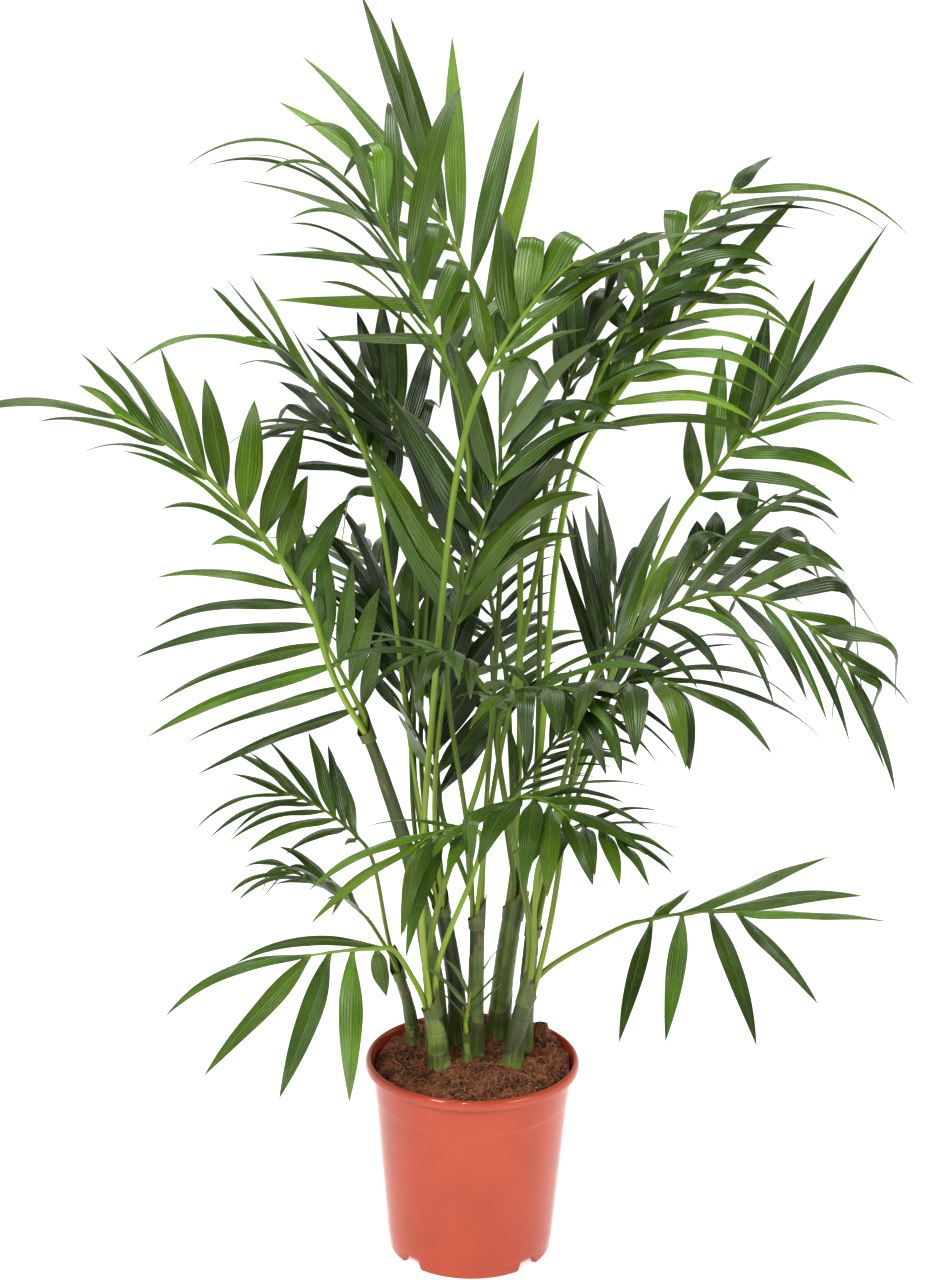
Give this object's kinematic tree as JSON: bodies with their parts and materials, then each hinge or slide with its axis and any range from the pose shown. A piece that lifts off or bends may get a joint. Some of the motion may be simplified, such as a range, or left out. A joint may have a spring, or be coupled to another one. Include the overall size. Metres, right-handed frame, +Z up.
{
  "type": "potted cat palm",
  "caption": "Clumping indoor palm with arching feather fronds on slim green canes, standing in a round terracotta-coloured plastic nursery pot with a rolled lip.",
  "frame": {"origin": "centre of the pot's flat underside", "axes": "+Z up along the plant, -Y towards the side that the picture shows"},
  "size_m": [1.0027, 0.6893, 1.378],
  "materials": {
    "pot": "satin injection-moulded plastic",
    "soil": "crumbly coir and peat",
    "cane": "smooth leaf sheath",
    "stalk": "smooth green stalk",
    "leaf": "glossy leaflet"
  },
  "bodies": {
    "root": {"cane_back_centre": "cane", "cane_back_left": "cane", "cane_back_right": "cane", "cane_centre": "cane", "cane_front_left": "cane", "cane_front_right": "cane", "cane_inner_left": "cane", "cane_main_left": "cane", "cane_sucker": "cane", "frond_back_dark": "leaf", "frond_back_left": "leaf", "frond_back_low": "leaf", "frond_back_low_left": "leaf", "frond_back_low_right": "leaf", "frond_centre_dark": "leaf", "frond_centre_front": "leaf", "frond_centre_inner": "leaf", "frond_comb_back": "leaf", "frond_comb_right": "leaf", "frond_crown_back": "leaf", "frond_crown_front": "leaf", "frond_crown_inner_right": "leaf", "frond_fan_left": "leaf", "frond_far_right": "leaf", "frond_front_centre": "leaf", "frond_front_right": "leaf", "frond_great_left": "leaf", "frond_great_right": "leaf", "frond_high_left": "leaf", "frond_high_right": "leaf", "frond_inner_right": "leaf", "frond_low_centre": "leaf", "frond_low_front_left": "leaf", "frond_low_left": "leaf", "frond_low_right": "leaf", "frond_mid_left": "leaf", "frond_right_back": "leaf", "frond_side_left": "leaf", "frond_side_left_upper": "leaf", "frond_sucker": "leaf", "frond_upper_right": "leaf", "frond_young_left": "leaf", "frond_young_right": "leaf", "pot": "pot", "soil": "soil", "stalk_back_left": "stalk", "stalk_centre_front": "stalk", "stalk_centre_inner": "stalk", "stalk_crown_back": "stalk", "stalk_crown_front": "stalk", "stalk_crown_inner_right": "stalk", "stalk_far_right": "stalk", "stalk_front_centre": "stalk", "stalk_front_right": "stalk", "stalk_great_left": "stalk", "stalk_great_right": "stalk", "stalk_high_left": "stalk", "stalk_high_right": "stalk", "stalk_right_back": "stalk", "stalk_upper_right": "stalk"}
  },
  "joints": []
}
